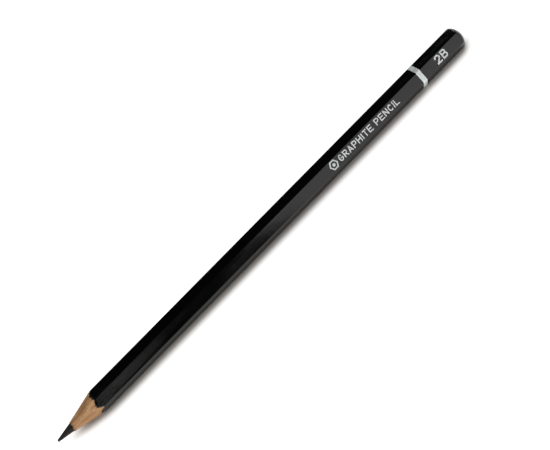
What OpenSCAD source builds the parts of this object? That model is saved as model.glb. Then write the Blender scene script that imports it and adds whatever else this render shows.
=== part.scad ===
// Graphite pencil: a hexagonal wood-cased pencil, sharpened, with a banded and dipped end.
//
// It lies on one flat along X, with the point at -X and the dipped end at +X. The origin is
// on the surface that it lies on, under the middle of its length. Dimensions are millimetres.

/* [Barrel] */
// Length from the point to the domed end
overall_length = 175; // [150:1:190]
// Distance between two opposite flats, over the lacquer
across_flats = 6.9; // [6.5:0.1:7.6]
// Radius on the six long edges, over the lacquer
edge_radius = 0.6; // [0.4:0.05:1]
// Thickness of the lacquer on the wood
lacquer_thickness = 0.15; // [0.12:0.01:0.2]

/* [Lead and point] */
// Diameter of the graphite lead
lead_diameter = 2.6; // [2:0.1:3]
// Length of lead that stands out of the wood
lead_exposed = 5.75; // [4:0.25:8]
// Diameter of the blunt tip
tip_diameter = 0.8; // [0.2:0.05:1.2]
// Distance from the tip to where the cone meets the middle of a flat
cone_length = 15.1; // [14:0.1:20]
// Half angle of the cone that the sharpener cuts in the wood, in degrees
cone_half_angle = 12.1; // [11.6:0.1:13]

/* [Glue] */
// Thickness of the glue between the slats and round the lead
glue_thickness = 0.1; // [0.06:0.01:0.15]

/* [Ring and end cap] */
// Length of the dipped cap beyond the ring
cap_length = 18.65; // [12:0.05:25]
// Width of the light ring
ring_width = 1.65; // [1:0.05:4]
// Thickness of the ring and of the cap on the flats
dip_thickness = 0.08; // [0.06:0.01:0.1]
// Thickness of the cap at the middle of its domed end
dip_end_thickness = 0.35; // [0.2:0.05:0.6]
// Radius of the domed end
dome_radius = 4.75; // [4.5:0.25:12]

/* [Stamped marks] */
// Height of the capitals on the barrel
imprint_height = 2.15; // [1.5:0.05:2.6]
// Distance from the tip to the start of the imprint on the barrel
imprint_start = 115; // [40:1:118]
// Height of the hardness grade on the cap
grade_height = 2.8; // [2:0.1:3]
// Distance from the domed end to the middle of the grade
grade_from_end = 10.6; // [6:0.1:12]
// Thickness of the stamped foil
foil_thickness = 0.05; // [0.03:0.01:0.1]

/* [Hidden] */

$fn = 96;
edge_steps = 6;         // flats that make up each rounded long edge
dome_steps = 6;         // cone bands that make up the domed end
overrun = 1;            // how far cutting shapes pass the surfaces that they cut

ring_start = overall_length - cap_length - ring_width;
cap_start = overall_length - cap_length;
wood_end = overall_length - dip_end_thickness;
groove_radius = lead_diameter / 2 + glue_thickness;
cone_apex = cone_length - across_flats / 2 / tan(cone_half_angle);
widest = across_flats;  // larger than the radius to any long edge
dome_reach = across_flats * 0.62;   // radius at which the domed end's profile stops

symbol_share = 1.35;    // height of the symbol, for a capital's height of 1
symbol_room = 1.3;      // length that the symbol and its gap take, for a symbol's height of 1
symbol_wall = 0.14;     // thickness of the symbol's hexagon, for its height of 1
symbol_dot = 0.36;      // diameter of the symbol's dot, for its height of 1

letter_width = 0.58;    // width of a letter's centre line, for a height of 1
letter_gap = 0.19;      // gap between letters, for a height of 1
word_gap = 0.5;         // gap between words, for a height of 1
stroke_share = 0.165;   // stroke width, for a height of 1
bend_steps = 14;        // straight pieces in a letter's curve

// Outline of the hexagonal section, inset below the lacquered surface. The flats face +X, -X
// and every 60 degrees between, and the long edges keep their centres, so coats nest.
function section(inset) = [
    for (edge = [0:5], step = [0:edge_steps])
        let (
            centre = (across_flats / 2 - edge_radius) / cos(30),
            turn = 60 * (edge + step / edge_steps)
        )
        centre * [cos(30 + 60 * edge), sin(30 + 60 * edge)]
            + (edge_radius - inset) * [cos(turn), sin(turn)]
];

// Profile of a dome that ends at the given height, as [radius, height] from the rim inwards.
function dome_profile(height, inset) = [
    for (step = [dome_steps:-1:0])
        let (angle = asin(dome_reach / dome_radius) * step / dome_steps)
        [(dome_radius - inset) * sin(angle), height - (dome_radius - inset) * (1 - cos(angle))]
];

// Everything here is drawn upright, with the tip at the origin, and then laid on its flat.
module lay_down() {
    translate([-overall_length / 2, 0, across_flats / 2])
        rotate([0, 90, 0])
            children();
}

// A length of the hexagonal section.
module prism(inset, start, end) {
    translate([0, 0, start])
        linear_extrude(end - start)
            polygon(section(inset));
}

// The space left by the sharpener at one end and by the dome at the other.
module turned_envelope(end_height, end_inset) {
    rotate_extrude()
        polygon(concat(
            [
                [0, lead_exposed],
                [(lead_exposed - cone_apex) * tan(cone_half_angle), lead_exposed],
                [widest, cone_apex + widest / tan(cone_half_angle)],
                [widest, end_height - dome_radius / 2]
            ],
            dome_profile(end_height, end_inset)
        ));
}

module wood_blank() {
    intersection() {
        prism(lacquer_thickness, 0, overall_length);
        turned_envelope(wood_end, dip_end_thickness);
    }
}

// One grooved half of the casing, on the given side (-1 or 1) of the glued seam.
module slat(side) {
    lay_down()
        difference() {
            wood_blank();
            cylinder(r = groove_radius, h = overall_length);
            translate([side * (widest - glue_thickness / 2), 0, overall_length / 2])
                cube([2 * widest, 2 * widest, overall_length + 2 * overrun], center = true);
        }
}

module upper_slat() {
    color("#d2a27a") slat(1);
}

module lower_slat() {
    color("#c99a70") slat(-1);
}

module lead_core() {
    color("#26221f")
        lay_down()
            rotate_extrude()
                polygon([
                    [0, 0],
                    [tip_diameter / 2, 0],
                    [lead_diameter / 2, lead_exposed],
                    [lead_diameter / 2, wood_end - dip_end_thickness],
                    [0, wood_end - dip_end_thickness]
                ]);
}

// The glue fills the seam from edge to edge and the groove all round the lead, and it closes
// the groove behind the lead.
module glue_film() {
    color("#e4dcc0")
        lay_down()
            difference() {
                intersection() {
                    wood_blank();
                    union() {
                        translate([0, 0, overall_length / 2])
                            cube([glue_thickness, 2 * widest, overall_length], center = true);
                        cylinder(r = groove_radius, h = overall_length);
                    }
                }
                cylinder(r = lead_diameter / 2, h = wood_end - dip_end_thickness);
            }
}

// The lacquer runs the whole length. It is thinner under the ring and the cap, so that the
// outside stays flush.
module barrel_lacquer() {
    color("#0b0b0d")
        lay_down()
            difference() {
                intersection() {
                    union() {
                        prism(0, 0, ring_start);
                        prism(dip_thickness, ring_start - overrun, overall_length);
                    }
                    turned_envelope(wood_end, dip_end_thickness);
                }
                prism(lacquer_thickness, -overrun, overall_length + overrun);
            }
}

module ring_band() {
    color("#c3cacb")
        lay_down()
            difference() {
                prism(0, ring_start, cap_start);
                prism(dip_thickness, ring_start - overrun, cap_start + overrun);
            }
}

module end_cap() {
    color("#0b0b0d")
        lay_down()
            difference() {
                intersection() {
                    prism(0, cap_start, overall_length);
                    turned_envelope(overall_length, 0);
                }
                intersection() {
                    prism(dip_thickness, cap_start - overrun, overall_length);
                    turned_envelope(wood_end, dip_end_thickness);
                }
            }
}

// ---- Stamped marks ----

// Points along part of an ellipse.
function bend(centre, radii, from, to) = [
    for (step = [0:bend_steps])
        let (angle = from + (to - from) * step / bend_steps)
        centre + [radii[0] * cos(angle), radii[1] * sin(angle)]
];

// A stem's bowl, from the top height to the bottom height, reaching out to the given width.
function bowl(top, bottom, width) =
    let (radius = (top - bottom) / 2)
    concat([[0, top]], bend([width - radius, top - radius], [radius, radius], 90, -90), [[0, bottom]]);

function stem(x) = [[x, 0], [x, 1]];
function bar(y, from, to) = [[from, y], [to, y]];

// Centre lines of a letter's strokes, for a height of 1 and the given width. Slanting strokes
// run past the letter's box, which cuts them off.
function letter_strokes(letter, w) =
    letter == "A" ? [[[-0.03, -0.11], [w / 2, 1], [w + 0.03, -0.11]], bar(0.28, w * 0.2, w * 0.8)] :
    letter == "B" ? [stem(0), bowl(1, 0.53, w * 0.92), bowl(0.53, 0, w)] :
    letter == "C" ? [bend([w / 2, 0.5], [w / 2, 0.5], 48, 312)] :
    letter == "E" ? [stem(0), bar(0, 0, w), bar(0.5, 0, w * 0.9), bar(1, 0, w)] :
    letter == "G" ? [bend([w / 2, 0.5], [w / 2, 0.5], 48, 335), [[w / 2, 0.45], [w, 0.45], [w, 0.2]]] :
    letter == "H" ? [stem(0), stem(w), bar(0.5, 0, w)] :
    letter == "I" ? [stem(0)] :
    letter == "L" ? [stem(0), bar(0, 0, w * 0.9)] :
    letter == "N" ? [stem(0), stem(w), [[-0.1, 1.18], [w + 0.1, -0.18]]] :
    letter == "P" ? [stem(0), bowl(1, 0.42, w)] :
    letter == "R" ? [stem(0), bowl(1, 0.45, w), [[w * 0.5, 0.38], [w * 1.05, -0.08]]] :
    letter == "T" ? [stem(w / 2), bar(1, 0, w)] :
    letter == "2" ? [concat(bend([w / 2, 0.7], [w / 2, 0.3], 165, -35), [[0, 0]]), bar(0, 0, w)] :
    [];

function unit(v) = v / norm(v);
function left_of(v) = [-v[1], v[0]];

// Direction of a line of points at one of them, and how far a mitre reaches there.
function heading(line, i) =
    i == 0 ? unit(line[1] - line[0]) :
    i == len(line) - 1 ? unit(line[i] - line[i - 1]) :
    unit(unit(line[i] - line[i - 1]) + unit(line[i + 1] - line[i]));
function mitre(line, i) =
    i == 0 || i == len(line) - 1 ? 1 : 1 / (heading(line, i) * unit(line[i + 1] - line[i]));

// A line of points drawn out at both ends.
function drawn_out(line, length) =
    let (last = len(line) - 1)
    [
        for (i = [0:last])
            line[i]
                + (i == 0 ? -length : i == last ? length : 0) * heading(line, i)
    ];

// A stroke of even width along a line of points, with square ends.
module stroke(line, width) {
    long = drawn_out(line, width / 2);
    sides = [
        for (side = [1, -1])
            [
                for (i = [0:len(long) - 1])
                    long[i] + side * width / 2 * mitre(long, i) * left_of(heading(long, i))
            ]
    ];
    polygon(concat(sides[0], [for (i = [len(long) - 1:-1:0]) sides[1][i]]));
}

function letter_span(letter) =
    letter == " " ? word_gap - letter_gap :
    letter == "I" ? stroke_share :
    letter_width + stroke_share;

// Where a letter starts, from the start of the word, for a height of 1.
function letter_start(word, i) =
    i == 0 ? 0 : letter_start(word, i - 1) + letter_span(word[i - 1]) + letter_gap;

function word_length(word) =
    letter_start(word, len(word) - 1) + letter_span(word[len(word) - 1]);

// A letter whose lower left corner is at the origin, cut to its own upright box.
module letter(symbol, height) {
    rise = height * (1 - stroke_share);
    width = height * stroke_share;
    intersection() {
        union()
            for (line = letter_strokes(symbol, letter_width * height / rise))
                stroke([for (p = line) rise * p + [width / 2, width / 2]], width);
        square([height * letter_span(symbol), height]);
    }
}

module word(letters, height) {
    for (i = [0:len(letters) - 1])
        if (letters[i] != " ")
            translate([height * letter_start(letters, i), 0])
                letter(letters[i], height);
}

// A hexagon with a dot in it, the section of a pencil, as high as the given size.
module section_symbol(size) {
    translate([size / 2, size / 2]) {
        difference() {
            circle(d = size / cos(30), $fn = 6);
            circle(d = size * (1 - 2 * symbol_wall) / cos(30), $fn = 6);
        }
        circle(d = size * symbol_dot);
    }
}

// Puts a drawing on the flat that faces the reader, to read towards the dipped end.
module stamp(start, height) {
    translate([start - overall_length / 2, 0, across_flats / 2])
        rotate([60, 0, 0])
            translate([0, -height / 2, across_flats / 2])
                linear_extrude(foil_thickness)
                    children();
}

module barrel_imprint() {
    symbol_height = imprint_height * symbol_share;
    color("#f2f4f4") {
        stamp(imprint_start, symbol_height)
            section_symbol(symbol_height);
        stamp(imprint_start + symbol_height * symbol_room, imprint_height)
            word("GRAPHITE PENCIL", imprint_height);
    }
}

module grade_mark() {
    grade = "2B";
    color("#f2f4f4")
        stamp(overall_length - grade_from_end - grade_height * word_length(grade) / 2, grade_height)
            word(grade, grade_height);
}

lead_core();
upper_slat();
lower_slat();
glue_film();
barrel_lacquer();
ring_band();
end_cap();
barrel_imprint();
grade_mark();
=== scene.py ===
"""The looks of a sharpened graphite pencil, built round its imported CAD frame.

The pencil lies along X with its point at -X. Angles round its axis are measured from straight up,
towards the flat that carries the imprint, so the six flats face 0, 60, 120 ... degrees.
All lengths are metres.
"""

import math

import bmesh
import bpy
import numpy as np
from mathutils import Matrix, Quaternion, Vector, noise


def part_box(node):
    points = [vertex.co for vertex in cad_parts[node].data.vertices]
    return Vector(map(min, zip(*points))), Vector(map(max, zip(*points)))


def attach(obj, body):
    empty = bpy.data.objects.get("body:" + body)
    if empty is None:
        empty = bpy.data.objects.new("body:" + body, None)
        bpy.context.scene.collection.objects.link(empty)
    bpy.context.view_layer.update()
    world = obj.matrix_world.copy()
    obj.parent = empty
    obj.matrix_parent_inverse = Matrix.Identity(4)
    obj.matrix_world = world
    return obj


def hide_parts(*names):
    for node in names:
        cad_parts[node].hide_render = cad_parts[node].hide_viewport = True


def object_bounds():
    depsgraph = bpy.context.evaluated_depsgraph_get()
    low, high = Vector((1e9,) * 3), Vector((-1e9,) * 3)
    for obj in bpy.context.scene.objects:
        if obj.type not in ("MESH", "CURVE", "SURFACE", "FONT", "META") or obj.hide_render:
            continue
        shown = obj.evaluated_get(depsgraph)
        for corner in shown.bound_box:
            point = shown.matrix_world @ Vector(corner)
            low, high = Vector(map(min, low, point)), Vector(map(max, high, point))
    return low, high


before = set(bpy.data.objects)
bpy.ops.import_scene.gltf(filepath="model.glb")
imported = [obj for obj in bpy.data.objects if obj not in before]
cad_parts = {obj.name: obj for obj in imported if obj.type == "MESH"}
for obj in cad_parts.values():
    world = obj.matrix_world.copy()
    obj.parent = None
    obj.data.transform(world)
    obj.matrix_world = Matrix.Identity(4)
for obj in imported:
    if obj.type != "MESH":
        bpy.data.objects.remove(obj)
CAD_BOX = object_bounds()

MM = 0.001

# ---------------------------------------------------------------- sizes from the frame

LOW, HIGH = CAD_BOX
TIP_X = LOW[0]
END_X = HIGH[0]
AXIS_Z = (LOW[2] + HIGH[2]) / 2

SIDE_TURN = math.pi / 3  # from the middle of one flat to the next
HALF_TURN = SIDE_TURN / 2
FLAT = (HIGH[2] - LOW[2]) / 2  # from the axis to the middle of a flat
CORNER = (HIGH[1] - LOW[1]) / 2  # from the axis to the top of a rounded long edge
EDGE = (FLAT / math.cos(HALF_TURN) - CORNER) / (1 / math.cos(HALF_TURN) - 1)  # that rounding's radius
EDGE_CENTRE = (FLAT - EDGE) / math.cos(HALF_TURN)  # from the axis to that rounding's centre
HALF_FLAT = (FLAT - EDGE) * math.tan(HALF_TURN)  # half the width between two roundings

WOOD_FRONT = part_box("upper_slat")[0].x
WOOD_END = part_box("glue_film")[1].x
WOOD_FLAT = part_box("upper_slat")[1].z - AXIS_Z  # from the axis to the middle of a flat of bare wood
LACQUER = FLAT - WOOD_FLAT  # thickness of the lacquer
CONE_AT_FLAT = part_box("barrel_lacquer")[0].x  # where the cut cone meets a flat of bare wood
RING_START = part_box("ring_band")[0].x
CAP_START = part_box("end_cap")[0].x
LEAD_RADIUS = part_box("lead_core")[1].z - AXIS_Z
LEAD_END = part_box("lead_core")[1].x
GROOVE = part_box("glue_film")[1].z - AXIS_Z  # radius of the groove for the lead
GLUE = 2 * (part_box("upper_slat")[0].z - AXIS_Z)  # thickness of the seam between the slats

# ---------------------------------------------------------------- shape details

CONE_SLOPE = math.tan(math.radians(12.1))
CONE_APEX = CONE_AT_FLAT - WOOD_FLAT / CONE_SLOPE
TIP_RADIUS = 0.4 * MM
CLEARANCE = 0.05 * MM  # kept between surfaces and loops that mustn't cross
CROWN = 0.035 * MM  # how far a lacquered flat bulges

DIP_SIDE = 0.08 * MM  # paint of the ring and of the cap, on the flats
DIP_END = END_X - WOOD_END  # paint of the cap, on the domed end
DOME_RADIUS = 4.75 * MM
INNER_DOME = DOME_RADIUS - DIP_END  # radius of the wood's dome, under the cap
INNER_RIM = math.asin(CORNER / INNER_DOME)
INNER_TURNS = np.linspace(INNER_RIM, math.asin((GROOVE + CLEARANCE) / INNER_DOME), 11)

FLAT_STEPS = 28
EDGE_STEPS = 8


# ---------------------------------------------------------------- sections and meshes


def section_angles():
    """Angles round the axis, evenly spaced along the flats and round the long edges."""
    angles = []
    for side in range(6):
        for i in range(FLAT_STEPS):
            across = HALF_FLAT * (2 * i / FLAT_STEPS - 1)
            angles.append(side * SIDE_TURN + math.atan(across / FLAT))
        for i in range(EDGE_STEPS):
            turn = i / EDGE_STEPS * SIDE_TURN
            y = EDGE_CENTRE * math.sin(HALF_TURN) + EDGE * math.sin(turn)
            z = EDGE_CENTRE * math.cos(HALF_TURN) + EDGE * math.cos(turn)
            angles.append(side * SIDE_TURN + math.atan2(y, z))
    return np.array(angles)


def section_radius(angles, inset=0.0, crown=0.0):
    """Distance from the axis to the rounded hexagon, inset below the lacquered surface."""
    flat = FLAT - inset
    edge = EDGE - inset
    from_middle = np.abs((angles + HALF_TURN) % SIDE_TURN - HALF_TURN)
    from_edge = HALF_TURN - from_middle
    reach = np.maximum(edge**2 - (EDGE_CENTRE * np.sin(from_edge)) ** 2, 0)
    rounded = EDGE_CENTRE * np.cos(from_edge) + np.sqrt(reach)
    across = np.tan(from_middle) / (HALF_FLAT / flat)
    radius = np.where(across < 1, flat / np.cos(from_middle), rounded)
    return radius + crown * (0.5 - np.minimum(across, 1) ** 2)


def ring_points(x, radius, angles):
    """A closed loop of points round the axis. x and radius are numbers or one value per angle."""
    x = np.broadcast_to(x, angles.shape)
    radius = np.broadcast_to(radius, angles.shape)
    return np.stack([x, -radius * np.sin(angles), AXIS_Z + radius * np.cos(angles)], axis=1)


def pole(x):
    """A loop of one point, on the axis."""
    return [(x, 0, AXIS_Z)]


def on_dome(turn, radius, top):
    """Where a dome is, at an angle from its top: x, and the distance from the axis."""
    return top - radius * (1 - math.cos(turn)), radius * math.sin(turn)


def wave(angles, x, per_turn, per_mm, seed):
    """Smooth noise on the pencil's surface, from about -1 to 1, which closes round the axis."""
    x = np.broadcast_to(x, angles.shape)
    values = []
    for a, at in zip(angles, x):
        spot = (per_turn * math.cos(a), per_turn * math.sin(a), at / MM * per_mm + seed)
        values.append(noise.noise(Vector(spot)))
    return 2 * np.array(values)


def skin(bm, loops, closed=False):
    """Adds faces between each loop and the next, and returns the vertices of each loop."""
    rows = [[bm.verts.new(p) for p in loop] for loop in loops]
    following = rows[1:] + rows[:1] if closed else rows[1:]
    for a, b in zip(rows, following):
        size = max(len(a), len(b))
        for i in range(size):
            j = (i + 1) % size
            if len(a) == 1:
                bm.faces.new((a[0], b[j], b[i]))
            elif len(b) == 1:
                bm.faces.new((a[i], a[j], b[0]))
            else:
                bm.faces.new((a[i], a[j], b[j], b[i]))
    return rows


def new_object(name, data):
    """Adds an object to the scene."""
    thing = bpy.data.objects.new(name, data)
    bpy.context.scene.collection.objects.link(thing)
    return thing


def finished_mesh(name, bm, sharp=50):
    """Turns a bmesh into a smooth object, with sharp edges where faces meet at over sharp degrees."""
    bmesh.ops.recalc_face_normals(bm, faces=bm.faces)
    mesh = bpy.data.meshes.new(name)
    bm.to_mesh(mesh)
    bm.free()
    mesh.shade_smooth()
    mesh.set_sharp_from_angle(angle=math.radians(sharp))
    return new_object(name, mesh)


def loops_to_mesh(name, loops, closed=False):
    """A mesh through a sequence of loops. If closed, the last loop joins the first."""
    bm = bmesh.new()
    skin(bm, loops, closed)
    return finished_mesh(name, bm)


def place(piece, node, material):
    """Puts a piece in place of a CAD node, on the pencil's one body."""
    piece.data.materials.clear()
    piece.data.materials.append(material)
    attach(piece, "root")
    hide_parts(node)


# ---------------------------------------------------------------- the sharpened cone


def around(angles, first, amounts, width):
    """Smooth humps of the given sizes, one per side, the first at the angle first, in degrees."""
    total = np.zeros_like(angles)
    for side, amount in enumerate(amounts):
        middle = math.radians(first) + side * SIDE_TURN
        turn = (angles - middle + math.pi) % (2 * math.pi) - math.pi
        total += amount * np.exp(-((turn / math.radians(width)) ** 2))
    return total


def cone_offset(angles):
    """How far the cut cone stands off its mean, because a sharpener never cuts quite true."""
    return MM * (0.1 * np.cos(angles - math.radians(130)) - 0.035 + 0.02 * np.cos(3 * angles + 1))


def cone_swell(angles):
    """How much steeper the cut is under each long edge, where the blade rode up."""
    steeper = (0.088, 0.0, 0.02, 0.012, 0.03, 0.04)
    return 1 + around(angles, first=29, amounts=steeper, width=13)


def cone_radius(angles, x):
    """Radius of the wood that the sharpener leaves, with the faint facets of its blade."""
    facets = 0.014 * MM * wave(angles, x, per_turn=3.2, per_mm=0.06, seed=7.3)
    facets += 0.006 * MM * wave(angles, x, per_turn=9, per_mm=0.2, seed=2.1)
    return (x - CONE_APEX) * CONE_SLOPE * cone_swell(angles) + cone_offset(angles) + facets


def cone_meets(angles, radius):
    """Where the cone reaches the given radius at each angle."""
    return CONE_APEX + (radius - cone_offset(angles)) / (CONE_SLOPE * cone_swell(angles))


def wood_front(angles):
    """Where the wood starts: torn a little by the blade, and never thinner than the groove allows."""
    torn = 0.12 * MM * wave(angles, 0, per_turn=6.0, per_mm=1, seed=9.0)
    torn += 0.1 * MM * wave(angles, 0, per_turn=17.0, per_mm=1, seed=1.0)
    scallop = 0.24 * MM * np.cos(5 * (angles - math.radians(42)))
    return np.maximum(WOOD_FRONT + scallop + torn, cone_meets(angles, GROOVE + CLEARANCE))


def chipping(angles):
    """How far the lacquer has broken back from the cut, at each angle."""
    flats = around(angles, first=0, amounts=(0.38, 0.0, 0.5, 0.2, 0.45, 0.1), width=17)
    coarse = np.maximum(wave(angles, 0, per_turn=4.0, per_mm=1, seed=12.5), 0) ** 1.5
    fine = np.abs(wave(angles, 0, per_turn=13.0, per_mm=1, seed=5.0))
    teeth = np.maximum(wave(angles, 0, per_turn=30.0, per_mm=1, seed=3.0), 0)
    return MM * (flats + 0.2 * coarse + 0.3 * fine + 0.16 * teeth)


# ---------------------------------------------------------------- lead, wood and glue


def make_lead():
    """The lead: a blunt, slightly worn tip, a rough cut cone and a plain rod inside the wood."""
    angles = np.linspace(0, 2 * math.pi, 64, endpoint=False)
    tip_steps = 8
    cone_steps = 40
    tip_depth = 0.8 * TIP_RADIUS
    cone_start = TIP_X + tip_depth
    loops = [pole(TIP_X)]
    for step in range(1, tip_steps):
        turn = math.pi / 2 * step / tip_steps
        x = TIP_X + tip_depth * (1 - math.cos(turn))
        worn = 1 + 0.06 * wave(angles, x, per_turn=1.6, per_mm=2.5, seed=14.0)
        loops.append(ring_points(x, TIP_RADIUS * math.sin(turn) * worn, angles))
    for step in range(cone_steps + 1):
        share = step / cone_steps
        x = cone_start + share * (WOOD_FRONT - cone_start)
        radius = TIP_RADIUS + share * (LEAD_RADIUS - TIP_RADIUS)
        fade = min(1, 4 * share * (1.05 - share) + 0.1)
        rough = 0.012 * MM * wave(angles, x, per_turn=2.5, per_mm=0.5, seed=4.4) * fade
        loops.append(ring_points(x, radius + rough, angles))
    for x in (WOOD_FRONT + 0.5 * MM, 0, LEAD_END):
        loops.append(ring_points(x, LEAD_RADIUS, angles))
    loops.append(pole(LEAD_END))
    return loops_to_mesh("lead", loops)


def seam_gap(radius):
    """The angle that half the glue seam takes up at a distance from the axis."""
    return math.asin(GLUE / 2 / radius)


def make_slat(name, middle):
    """One grooved half of the casing, whose back faces the angle middle."""
    count = 3 * (FLAT_STEPS + EDGE_STEPS)
    cone_steps = 44
    groove_run = 9 * MM  # how far along the groove the cone's loops are spread
    outer_end = math.pi / 2 - seam_gap(CORNER - LACQUER)
    groove_end = math.pi / 2 - seam_gap(GROOVE)
    outer = middle + np.linspace(-outer_end, outer_end, count)
    groove = middle + np.linspace(groove_end, -groove_end, count)
    wood = section_radius(outer, LACQUER)
    meets = cone_meets(outer, wood)
    front = wood_front(outer)

    def loop(x, radius, groove_x):
        """Across the slat's back, and then the other way along its groove."""
        back = ring_points(x, radius, outer)
        return np.vstack([back, ring_points(groove_x, GROOVE, groove)])

    loops = [loop(front, np.minimum(cone_radius(outer, front), wood), front[::-1])]
    for step in range(1, cone_steps + 1):
        share = step / cone_steps
        x = front + share * (meets - front)
        groove_x = front.max() + CLEARANCE + share * groove_run
        loops.append(loop(x, np.minimum(cone_radius(outer, x), wood), groove_x))
    for x in (meets + 0.6 * MM, meets + 1.5 * MM, 0.0, RING_START):
        loops.append(loop(x, wood, np.mean(x)))
    for turn in INNER_TURNS:
        x, reach = on_dome(turn, INNER_DOME, WOOD_END)
        loops.append(loop(x, np.minimum(reach, wood), x))

    bm = bmesh.new()
    rows = skin(bm, loops)
    for row in (rows[0], rows[-1]):
        back = row[:count]
        inside = row[:count - 1:-1]
        for i in range(count - 1):
            bm.faces.new((back[i], back[i + 1], inside[i + 1], inside[i]))
    return finished_mesh(name, bm)


def make_glue():
    """The film in the seam and round the lead, just below the wood that the blade left."""
    sink = 0.008 * MM
    round_lead = LEAD_RADIUS + 0.005 * MM
    seams = np.array([0.5, 1.5]) * math.pi
    wood = section_radius(seams, LACQUER)
    arc = np.linspace(seam_gap(GROOVE), math.pi - seam_gap(GROOVE), 24)

    def outline(reach):
        """Angles and radii of a section: out along each seam, and round the groove between them."""
        angles, radius = [], []
        for middle, tip in zip(seams, reach - sink):
            angles += [middle - seam_gap(tip), middle + seam_gap(tip), *(middle + arc)]
            radius += [tip, tip, *np.full(len(arc), GROOVE)]
        return np.array(angles), np.array(radius)

    angles, radius = outline(cone_radius(seams, wood_front(seams)))
    start = wood_front(angles) + 0.04 * MM
    loops = [
        pole(LEAD_END),
        ring_points(LEAD_END, round_lead, angles),
        ring_points(start, round_lead, angles),
        ring_points(start, radius, angles),
    ]
    cone_x = np.linspace(start.max() + CLEARANCE, cone_meets(seams, wood).max(), 30)
    for x in (*cone_x, 0, RING_START):
        angles, radius = outline(np.minimum(cone_radius(seams, x), wood))
        loops.append(ring_points(x, radius, angles))
    for turn in INNER_TURNS:
        x, reach = on_dome(turn, INNER_DOME, WOOD_END)
        angles, radius = outline(np.minimum(reach, wood))
        loops.append(ring_points(x, radius, angles))
    loops.append(pole((x + WOOD_END) / 2))
    return loops_to_mesh("glue_seam", loops)


# ---------------------------------------------------------------- coats and foils


def make_lacquer():
    """The lacquer: chipped at the cut, faintly uneven, and thinner under the ring and the cap."""
    angles = section_angles()
    outer = section_radius(angles, crown=CROWN)
    under = section_radius(angles, DIP_SIDE)
    wood = section_radius(angles, LACQUER)
    chips = chipping(angles)
    inner_front = cone_meets(angles, wood) + chips
    outer_front = cone_meets(angles, outer) + chips
    zone_end = WOOD_FRONT + 17 * MM  # the end of the finer loops behind the cut
    hidden_end = CAP_START + 12 * MM  # under the cap
    zone_steps = 16
    barrel_steps = 40

    def ripple(x):
        """The faint unevenness of a dipped coat."""
        return 0.006 * MM * wave(angles, x, per_turn=4.0, per_mm=0.05, seed=3.0)

    loops = [ring_points(inner_front, wood, angles)]
    for share in (0.3, 0.65, 0.9):
        torn = 0.012 * MM * wave(angles, share * MM, per_turn=24, per_mm=1, seed=6.0)
        x = inner_front + share * (outer_front - inner_front)
        loops.append(ring_points(x, wood + share * (outer - wood) + torn, angles))
    for step in range(zone_steps + 1):
        x = outer_front + (zone_end - outer_front) * (step / zone_steps) ** 2
        settle = min(step / 3, 1)
        rounding = (1 - settle) * 0.02 * MM
        loops.append(ring_points(x, outer + settle * ripple(x) - rounding, angles))
    for step in range(1, barrel_steps + 1):
        x = zone_end + (RING_START - zone_end) * step / barrel_steps
        loops.append(ring_points(x, outer + ripple(x), angles))
    for x in (RING_START, CAP_START, hidden_end):
        loops.append(ring_points(x, under, angles))
    for x in (hidden_end, 0, zone_end):
        loops.append(ring_points(x, wood, angles))
    return loops_to_mesh("barrel_lacquer_coat", loops, closed=True)


def make_ring():
    """The painted ring: slightly proud, with a bead of paint along both sides."""
    angles = section_angles()
    outer = section_radius(angles, crown=CROWN)
    inner = section_radius(angles, DIP_SIDE)
    foot = outer - 0.005 * MM
    proud = 0.018 * MM
    start = RING_START + 0.035 * MM * wave(angles, 0, per_turn=3.0, per_mm=1, seed=21.0)
    end = CAP_START + 0.03 * MM * wave(angles, 0, per_turn=3.0, per_mm=1, seed=31.0) + 0.05 * MM
    # across the ring, as shares of its width and of its height
    bead = ((0.02, 0.6), (0.06, 1), (0.3, 0.85), (0.7, 0.85), (0.94, 1), (0.98, 0.6))
    loops = [ring_points(start, inner, angles), ring_points(start, foot, angles)]
    for share, height in bead:
        loops.append(ring_points(start + share * (end - start), outer + height * proud, angles))
    loops.append(ring_points(end, foot, angles))
    loops.append(ring_points(end, inner, angles))
    return loops_to_mesh("painted_ring", loops, closed=True)


def soft_minimum(a, b, blend):
    """The lesser of a and b, rounded off where they are within blend of each other."""
    share = np.clip(0.5 + 0.5 * (b - a) / blend, 0, 1)
    return b + (a - b) * share - blend * share * (1 - share)


def make_cap():
    """The dipped cap: a lip of paint at its edge, slightly uneven flats and a domed end."""
    angles = section_angles()
    outer = section_radius(angles, crown=CROWN)
    inner = section_radius(angles, DIP_SIDE)
    start = CAP_START + 0.02 * MM * wave(angles, 0, per_turn=3.0, per_mm=1, seed=31.0)
    # from the cap's edge, and above its flats, in millimetres
    lip = ((0.0, -0.005), (0.03, 0.008), (0.1, 0.018), (0.4, 0.012), (1.2, 0.004))
    lip_end = start + lip[-1][0] * MM
    rim_turn = math.radians(62)  # past the long edges, so that the dome rounds them too
    rim, _ = on_dome(rim_turn, DOME_RADIUS, END_X)
    inner_steps = 16
    side_steps = 12
    dome_steps = 40
    loops = [pole(WOOD_END)]
    for step in range(1, inner_steps + 1):
        x, reach = on_dome(INNER_RIM * step / inner_steps, INNER_DOME, WOOD_END)
        loops.append(ring_points(x, np.minimum(reach, inner), angles))
    loops.append(ring_points(start, inner, angles))
    for along, height in lip:
        loops.append(ring_points(start + along * MM, outer + height * MM, angles))
    for step in range(1, side_steps + 1):
        x = lip_end + (rim - lip_end) * step / side_steps
        ripple = 0.006 * MM * wave(angles, x, per_turn=4.0, per_mm=0.08, seed=8.0)
        loops.append(ring_points(x, outer + ripple, angles))
    for step in range(1, dome_steps):
        x, reach = on_dome(rim_turn * (1 - step / dome_steps), DOME_RADIUS, END_X)
        radius = np.minimum(soft_minimum(outer, reach, 0.32 * MM), reach)
        loops.append(ring_points(x, radius, angles))
    loops.append(pole(END_X))
    return loops_to_mesh("dipped_cap", loops)


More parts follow.
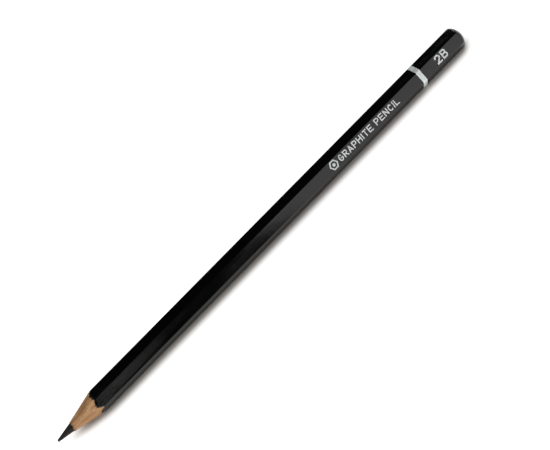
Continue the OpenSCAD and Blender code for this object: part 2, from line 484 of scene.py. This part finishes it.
def make_foil(name, node):
    """The stamped foil of a CAD node, thinner, pressed into the lacquer and softened at its edges."""
    top = 0.026 * MM
    thickness = 0.02 * MM
    bevel = 0.012 * MM
    near = 0.01 * MM
    out = Vector((0, -math.sin(SIDE_TURN), math.cos(SIDE_TURN)))

    def height(v):
        """How far a point stands above the flat."""
        return (v.co - Vector((0, 0, AXIS_Z))).dot(out) - FLAT

    bm = bmesh.new()
    bm.from_mesh(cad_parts[node].data)
    bmesh.ops.remove_doubles(bm, verts=bm.verts, dist=0.001 * MM)
    bmesh.ops.dissolve_limit(bm, angle_limit=math.radians(1), verts=bm.verts, edges=bm.edges)
    highest = max(height(v) for v in bm.verts)
    upper = {f for f in bm.faces if all(height(v) > highest - near for v in f.verts)}
    rim = [e for e in bm.edges if sum(f in upper for f in e.link_faces) == 1]
    bmesh.ops.bevel(
        bm, geom=rim, offset=bevel, segments=2, affect="EDGES", profile=0.6, clamp_overlap=True
    )
    bmesh.ops.triangulate(bm, faces=[f for f in bm.faces if len(f.verts) > 4])
    for v in bm.verts:
        level = height(v) / highest
        v.co += out * (top - (1 - level) * thickness - height(v))
    return finished_mesh(name, bm, sharp=35)


# ---------------------------------------------------------------- materials


class Graph:
    """Short calls for making a material's nodes. Scales and shifts are along X, Y and Z."""

    def __init__(self, name):
        self.material = bpy.data.materials.new(name)
        self.material.use_nodes = True
        self.nodes = self.material.node_tree.nodes
        self.links = self.material.node_tree.links
        self.position = self.node("TexCoord", {}, "Object")

    def node(self, kind, inputs, output, **settings):
        """Adds a node with its settings and inputs, and returns one of its outputs."""
        node = self.nodes.new("ShaderNode" + kind)
        for name, value in settings.items():
            setattr(node, name, value)
        self.feed(node, inputs)
        return node.outputs[output]

    def feed(self, node, inputs):
        """Sets each input to a number or a colour, or links another node's output to it."""
        for name, value in inputs.items():
            target = node.inputs[name]
            if isinstance(value, bpy.types.NodeSocket):
                self.links.new(value, target)
            elif target.type == "RGBA":
                target.default_value = (*value, 1)
            else:
                target.default_value = value

    def scaled(self, scale, shift=(0, 0, 0)):
        """The position on the pencil in metres, scaled and shifted."""
        inputs = {"Vector": self.position, "Scale": scale, "Location": shift}
        return self.node("Mapping", inputs, "Vector")

    def noise(self, scale, shift=(0, 0, 0), detail=3.0, rough=0.5, distortion=0.0):
        """Noise round 0.5, with about scale bumps a metre."""
        inputs = {
            "Vector": self.scaled(scale, shift),
            "Scale": 1.0,
            "Detail": detail,
            "Roughness": rough,
            "Distortion": distortion,
        }
        return self.node("TexNoise", inputs, "Fac")

    def spots(self, scale):
        """Distance to the nearest of many scattered points."""
        return self.node("TexVoronoi", {"Vector": self.scaled(scale), "Scale": 1.0}, "Distance")

    def along(self):
        """Distance along the pencil's axis."""
        return self.node("SeparateXYZ", {"Vector": self.position}, "X")

    def add(self, a, b):
        return self.node("Math", {0: a, 1: b}, "Value", operation="ADD")

    def times(self, a, b):
        return self.node("Math", {0: a, 1: b}, "Value", operation="MULTIPLY")

    def fit(self, value, low, high, to_low=0.0, to_high=1.0):
        """Brings values between low and high smoothly to between to_low and to_high."""
        inputs = {
            "Value": value,
            "From Min": low,
            "From Max": high,
            "To Min": to_low,
            "To Max": to_high,
        }
        return self.node("MapRange", inputs, "Result", interpolation_type="SMOOTHSTEP")

    def mix(self, factor, a, b):
        """The colour a where factor is 0 and b where it is 1."""
        return self.node("Mix", {"Factor": factor, 6: a, 7: b}, 2, data_type="RGBA")

    def relief(self, *layers):
        """A normal from layers of height and depth, one on another."""
        inputs = {}
        for height, depth in layers:
            inputs.update({"Height": height, "Distance": depth})
            inputs["Normal"] = self.node("Bump", inputs, "Normal")
        return inputs["Normal"]

    def finish(self, **sockets):
        """Feeds the material's shader. An underscore stands for a space in a socket's name."""
        inputs = {name.replace("_", " "): value for name, value in sockets.items()}
        self.feed(self.nodes["Principled BSDF"], inputs)
        return self.material


def wood_material(name, shift):
    """Bare soft wood, with straight fine grain, darker late wood and short pores."""
    early, late = (0.46, 0.268, 0.126), (0.31, 0.152, 0.060)
    fibre, pore = (0.28, 0.125, 0.05), (0.15, 0.065, 0.028)
    pink, graphite_dust = (0.44, 0.215, 0.11), (0.07, 0.055, 0.045)
    g = Graph(name)
    bands = g.noise((14, 700, 700), (shift, 0, 0), rough=0.55, distortion=0.4)
    fibres = g.noise((80, 3200, 3200), (shift, 1, 0), detail=4.0, rough=0.6)
    pores = g.noise((300, 5200, 5200), (0, shift, 0), detail=2.0)
    patches = g.noise((260, 420, 420), rough=0.55)
    colour = g.mix(g.fit(bands, 0.38, 0.64), early, late)
    colour = g.mix(g.fit(fibres, 0.42, 0.72, 0, 0.5), colour, fibre)
    colour = g.mix(g.fit(pores, 0.6, 0.72, 0, 0.6), colour, pore)
    colour = g.mix(g.fit(patches, 0.42, 0.7, 0, 0.4), colour, pink)
    by_lead = g.fit(g.along(), WOOD_FRONT - 0.2 * MM, WOOD_FRONT + 1.1 * MM, 1, 0)
    smudge = g.times(by_lead, g.fit(fibres, 0.3, 0.7, 0.25, 0.8))
    return g.finish(
        Base_Color=g.mix(smudge, colour, graphite_dust),
        Roughness=g.fit(fibres, 0.3, 0.8, 0.55, 0.8),
        Normal=g.relief((bands, 0.05 * MM), (fibres, 0.04 * MM), (pores, 0.02 * MM)),
        IOR=1.45,
    )


def graphite_material():
    """Cut graphite: dull dark grey with fine scratches along the cut and burnished streaks."""
    dark, dull, grain = (0.006, 0.005, 0.004), (0.020, 0.016, 0.013), (0.05, 0.045, 0.041)
    g = Graph("graphite")
    streaks = g.noise((500, 4200, 4200), detail=4.0, rough=0.6)
    grains = g.noise((9000, 9000, 9000), detail=2.0)
    burnish = g.noise((160, 900, 900), (3, 0, 0), detail=2.0)
    colour = g.mix(g.fit(streaks, 0.38, 0.64), dark, dull)
    return g.finish(
        Base_Color=g.mix(g.fit(grains, 0.58, 0.74, 0, 0.6), colour, grain),
        Roughness=g.fit(burnish, 0.35, 0.65, 0.42, 0.6),
        Normal=g.relief((streaks, 0.07 * MM), (grains, 0.014 * MM)),
        IOR=1.32,
    )


def glue_material():
    """Dried wood glue: a cloudy light brown."""
    dark, light = (0.30, 0.19, 0.11), (0.42, 0.29, 0.18)
    g = Graph("wood_glue")
    clouds = g.noise((400, 900, 900))
    return g.finish(
        Base_Color=g.mix(clouds, dark, light),
        Roughness=g.fit(clouds, 0.3, 0.7, 0.4, 0.6),
        Normal=g.relief((clouds, 0.01 * MM)),
    )


def lacquer_material(name, scuffed):
    """Gloss black lacquer: a faint ripple, hairline scratches and, if scuffed, wear near the cut."""
    black, handled_black = (0.0007, 0.0007, 0.0008), (0.0013, 0.0012, 0.0011)
    scuffed_grey = (0.028, 0.026, 0.025)
    scuffed_length = 20 * MM
    g = Graph(name)
    peel = g.noise((500, 900, 900), detail=2.0)
    drawn = g.noise((14, 1300, 1300), rough=0.55)
    hair = g.noise((90, 7000, 7000), (5, 2, 1), detail=2.0, rough=0.6)
    handled = g.noise((90, 220, 220), (1, 4, 2), rough=0.6)
    colour = g.mix(handled, black, handled_black)
    rough = g.add(g.fit(handled, 0.35, 0.7, 0.09, 0.14), g.fit(hair, 0.62, 0.75, 0, 0.12))
    layers = [(peel, 0.0045 * MM), (drawn, 0.003 * MM), (hair, 0.0012 * MM)]
    if scuffed:
        near = g.fit(g.along(), CONE_AT_FLAT, CONE_AT_FLAT + scuffed_length, 1, 0)
        scuff = g.noise((110, 1700, 1700), (0, 7, 0), detail=4.0, rough=0.65)
        worn = g.times(near, g.fit(scuff, 0.52, 0.7))
        colour = g.mix(g.times(worn, 0.5), colour, scuffed_grey)
        rough = g.add(rough, g.times(worn, 0.2))
        layers.insert(1, (g.times(near, scuff), 0.05 * MM))
    return g.finish(Base_Color=colour, Roughness=rough, Normal=g.relief(*layers), IOR=1.5)


def ring_material():
    """Light silver-grey paint, a little thin and mottled, with fine flakes."""
    thin_grey, full_grey, flake = (0.68, 0.73, 0.74), (0.84, 0.87, 0.88), (0.85, 0.88, 0.89)
    g = Graph("ring_paint")
    mottle = g.noise((700, 700, 700), rough=0.55)
    flakes = g.spots((14000, 14000, 14000))
    colour = g.mix(g.fit(mottle, 0.3, 0.7), thin_grey, full_grey)
    return g.finish(
        Base_Color=g.mix(g.fit(flakes, 0.15, 0.5, 0.25, 0), colour, flake),
        Roughness=g.fit(mottle, 0.3, 0.7, 0.28, 0.42),
        Normal=g.relief((mottle, 0.006 * MM)),
        Metallic=0.15,
    )


def foil_material():
    """White stamping foil, slightly broken where the stamp pressed less."""
    light_press, full_press, bare = (0.62, 0.65, 0.67), (0.80, 0.82, 0.83), (0.05, 0.05, 0.052)
    g = Graph("stamping_foil")
    press = g.noise((900, 900, 900), detail=4.0, rough=0.65)
    pits = g.noise((5200, 5200, 5200), (2, 2, 2), detail=2.0)
    colour = g.mix(g.fit(press, 0.35, 0.6), light_press, full_press)
    return g.finish(
        Base_Color=g.mix(g.fit(pits, 0.66, 0.74, 0, 0.75), colour, bare),
        Roughness=g.fit(press, 0.3, 0.7, 0.3, 0.5),
        Normal=g.relief((pits, 0.006 * MM)),
    )


# ---------------------------------------------------------------- the model

UP, DOWN = 0, math.pi

foil = foil_material()
place(make_lead(), "lead_core", graphite_material())
place(make_slat("slat_upper", UP), "upper_slat", wood_material("wood_upper", 0.0))
place(make_slat("slat_lower", DOWN), "lower_slat", wood_material("wood_lower", 3.7))
place(make_lacquer(), "barrel_lacquer", lacquer_material("barrel_black", True))
place(make_ring(), "ring_band", ring_material())
place(make_cap(), "end_cap", lacquer_material("cap_black", False))
place(make_foil("imprint_foil", "barrel_imprint"), "barrel_imprint", foil)
place(make_foil("grade_foil", "grade_mark"), "grade_mark", foil)
place(make_glue(), "glue_film", glue_material())

# ---------------------------------------------------------------- stage, lights and camera


def make_floor():
    """A pale paper floor that glows to white. Ambient occlusion dims the glow near the pencil into a
    painted contact shadow.
    """
    size = 6.0
    dark, light = (0.42, 0.39, 0.355), (0.46, 0.43, 0.395)
    white = (1, 1, 1)
    bm = bmesh.new()
    bmesh.ops.create_grid(bm, x_segments=4, y_segments=4, size=size / 2)
    floor = finished_mesh("floor", bm)
    g = Graph("floor_paper")
    fibres = g.noise((900, 900, 900), rough=0.6)
    # ambient occlusion that dims the floor's glow: a painted contact shadow round the pencil
    painted_shadow_openness = g.node("AmbientOcclusion", {"Distance": 3 * FLAT}, "AO")
    paper = g.finish(
        Base_Color=g.mix(fibres, dark, light),
        Roughness=0.9,
        Specular_IOR_Level=0.1,
        Emission_Color=white,
        # painted shadow: the glow fades where the pencil is close
        Emission_Strength=g.fit(painted_shadow_openness, 0.3, 0.9, 0.02, 1.0),
    )
    floor.data.materials.append(paper)


def toward(azimuth, elevation):
    """Unit vector at an azimuth from -Y towards +X, and an elevation, in degrees."""
    a, e = math.radians(azimuth), math.radians(elevation)
    return Vector((math.sin(a) * math.cos(e), -math.cos(a) * math.cos(e), math.sin(e)))


def looking_back(direction):
    """The rotation of a light or camera that stands in a direction and looks back."""
    return (-direction).to_track_quat("-Z", "Y")


def add_light(name, azimuth, elevation, distance, width, height, power):
    """A soft box that faces the pencil. Angles are in degrees and power is in watts."""
    data = bpy.data.lights.new(name, "AREA")
    data.shape = "RECTANGLE"
    data.size = width
    data.size_y = height
    data.energy = power
    light = new_object(name, data)
    direction = toward(azimuth, elevation)
    light.location = direction * distance
    light.rotation_euler = looking_back(direction).to_euler()


def make_world():
    """A pale studio that is bright near the horizon and dark overhead."""
    bright, dark = 1.05, 0.01
    fade_start, fade_end = 0.04, 0.14  # the upward part of a unit vector
    world = bpy.data.worlds.new("studio")
    bpy.context.scene.world = world
    world.use_nodes = True
    nodes, links = world.node_tree.nodes, world.node_tree.links
    coordinates = nodes.new("ShaderNodeTexCoord")
    split = nodes.new("ShaderNodeSeparateXYZ")
    fade = nodes.new("ShaderNodeMapRange")
    fade.interpolation_type = "SMOOTHSTEP"
    fade.inputs["From Min"].default_value = fade_start
    fade.inputs["From Max"].default_value = fade_end
    fade.inputs["To Min"].default_value = bright
    fade.inputs["To Max"].default_value = dark
    links.new(coordinates.outputs["Generated"], split.inputs[0])
    links.new(split.outputs["Z"], fade.inputs["Value"])
    links.new(fade.outputs["Result"], nodes["Background"].inputs["Strength"])
    nodes["Background"].inputs["Color"].default_value = (0.99, 0.99, 1.0, 1)


def make_camera():
    """The camera at the photograph's angle, rolled so that the pencil's point is down and left."""
    aim = Vector((0.0036, -0.0012, AXIS_Z))
    direction = toward(azimuth=-16.7, elevation=41.0)
    distance = 0.7033
    roll = Quaternion((0, 0, 1), math.radians(-34.3))
    data = bpy.data.cameras.new("camera")
    data.lens = 154
    data.sensor_width = 36
    data.clip_start = 0.01
    camera = new_object("camera", data)
    camera.location = aim + direction * distance
    camera.rotation_euler = (looking_back(direction) @ roll).to_euler()
    bpy.context.scene.camera = camera


make_floor()
make_world()
# azimuth, elevation, distance, width, height, power
add_light("front_box", 30, 16, 0.8, 0.46, 0.34, 0.6)
add_light("tip_strip", 1.4, 20.6, 0.8, 0.075, 0.145, 0.028)
add_light("left_box", -70, 24, 1.2, 0.9, 0.7, 12)
add_light("right_box", 77, 22, 1.2, 0.7, 0.6, 0.6)
add_light("rear_box", -120, 50, 0.8, 0.5, 0.4, 1.0)
add_light("back_box", 139, 31, 1.2, 0.36, 0.3, 1.0)
make_camera()
bpy.context.scene.view_settings.view_transform = "Standard"

bpy.context.view_layer.update()
